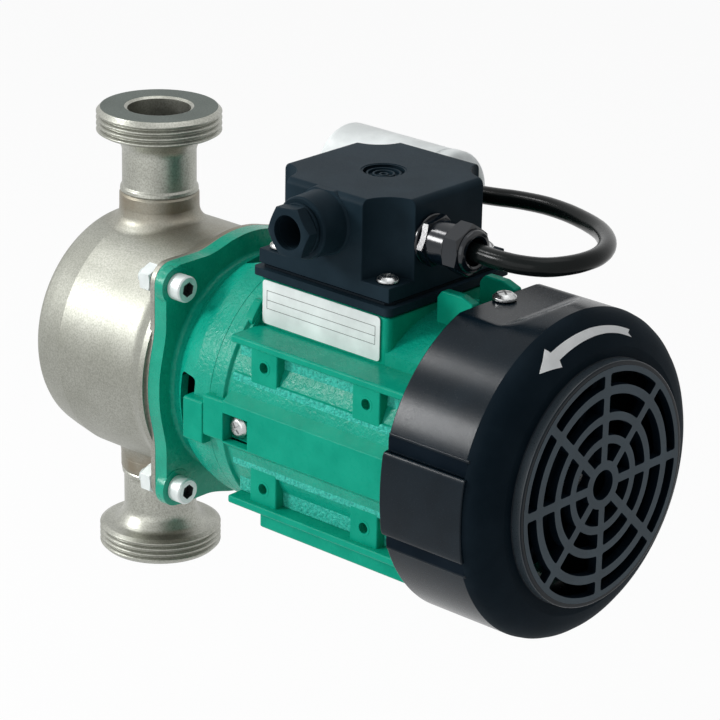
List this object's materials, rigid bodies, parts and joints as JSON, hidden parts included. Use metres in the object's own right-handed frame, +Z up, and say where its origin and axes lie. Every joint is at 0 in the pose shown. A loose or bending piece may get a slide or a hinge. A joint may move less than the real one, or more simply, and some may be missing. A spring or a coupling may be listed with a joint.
{
  "type": "in-line centrifugal pump",
  "caption": "Small in-line centrifugal pump: stainless drum casing between two threaded ports, green fan-cooled motor, black terminal box and a capacitor on a looped lead.",
  "frame": {"origin": "centre of the lower port's sealing face", "axes": "+Z up the pipe axis, +X along the motor axis from the pump to the fan, -Y the side with the earth screw and rating plate"},
  "size_m": [0.2423, 0.1297, 0.1803],
  "materials": {
    "stainless": "blasted and brushed",
    "green_enamel": "gloss enamel over rough casting",
    "black_plastic": "fine grained",
    "black_lead": "glossy sheath",
    "zinc": "zinc plated",
    "bright_steel": "bright",
    "rubber": "matt",
    "ceramic": "lapped",
    "impeller_plastic": "moulded",
    "laminated_iron": "stacked laminations",
    "copper_winding": "varnished copper wire",
    "cage_brass": "bright",
    "white_plastic": "smooth",
    "terminal_plastic": "moulded"
  },
  "bodies": {
    "frame": {"pump_casing": "stainless", "upper_port": "stainless", "lower_port": "stainless", "suction_bend": "stainless", "casing_cover": "stainless", "lantern": "green_enamel", "motor_housing": "green_enamel", "rear_shield": "green_enamel", "fan_cover": "black_plastic", "terminal_base": "black_plastic", "terminal_cover": "black_plastic", "mains_gland_body": "black_plastic", "mains_gland_nut": "black_plastic", "lead_gland_body": "black_plastic", "lead_gland_nut": "black_plastic", "capacitor_lead": "black_lead", "flange_screw_a": "zinc", "flange_screw_b": "zinc", "flange_screw_c": "zinc", "flange_screw_d": "zinc", "flange_nut_a": "zinc", "flange_nut_b": "zinc", "flange_nut_c": "zinc", "flange_nut_d": "zinc", "capacitor_bracket": "zinc", "front_bearing_outer": "bright_steel", "rear_bearing_outer": "bright_steel", "box_screw_a": "bright_steel", "box_screw_b": "bright_steel", "box_screw_c": "bright_steel", "box_screw_d": "bright_steel", "earth_screw": "bright_steel", "fan_cover_screw_upper": "bright_steel", "fan_cover_screw_lower": "bright_steel", "casing_o_ring": "rubber", "cover_gasket": "rubber", "base_gasket": "rubber", "seal_seat": "ceramic", "stator_core": "laminated_iron", "front_winding": "copper_winding", "rear_winding": "copper_winding", "capacitor": "white_plastic", "capacitor_cap": "white_plastic", "rating_plate": "white_plastic", "terminal_block": "terminal_plastic"},
    "rotor": {"shaft": "bright_steel", "impeller": "impeller_plastic", "impeller_nut": "stainless", "rotor_core": "laminated_iron", "cooling_fan": "black_plastic", "seal_ring": "ceramic", "seal_spring": "stainless", "water_slinger": "rubber", "front_bearing_inner": "bright_steel", "rear_bearing_inner": "bright_steel"},
    "front_cage": {"front_bearing_balls": "cage_brass"},
    "rear_cage": {"rear_bearing_balls": "cage_brass"}
  },
  "joints": [
    {"name": "rotor_spin", "type": "hinge", "parent": "frame", "child": "rotor", "pos_m": [0, 0, 0.09], "axis": [1, 0, 0], "continuous": true},
    {"name": "front_cage_spin", "type": "hinge", "parent": "frame", "child": "front_cage", "pos_m": [0, 0, 0.09], "axis": [1, 0, 0], "continuous": true},
    {"name": "rear_cage_spin", "type": "hinge", "parent": "frame", "child": "rear_cage", "pos_m": [0, 0, 0.09], "axis": [1, 0, 0], "continuous": true}
  ],
  "couplings": [
    {"joint": "front_cage_spin", "follows": "rotor_spin", "ratio": 0.4},
    {"joint": "rear_cage_spin", "follows": "rotor_spin", "ratio": 0.4}
  ]
}
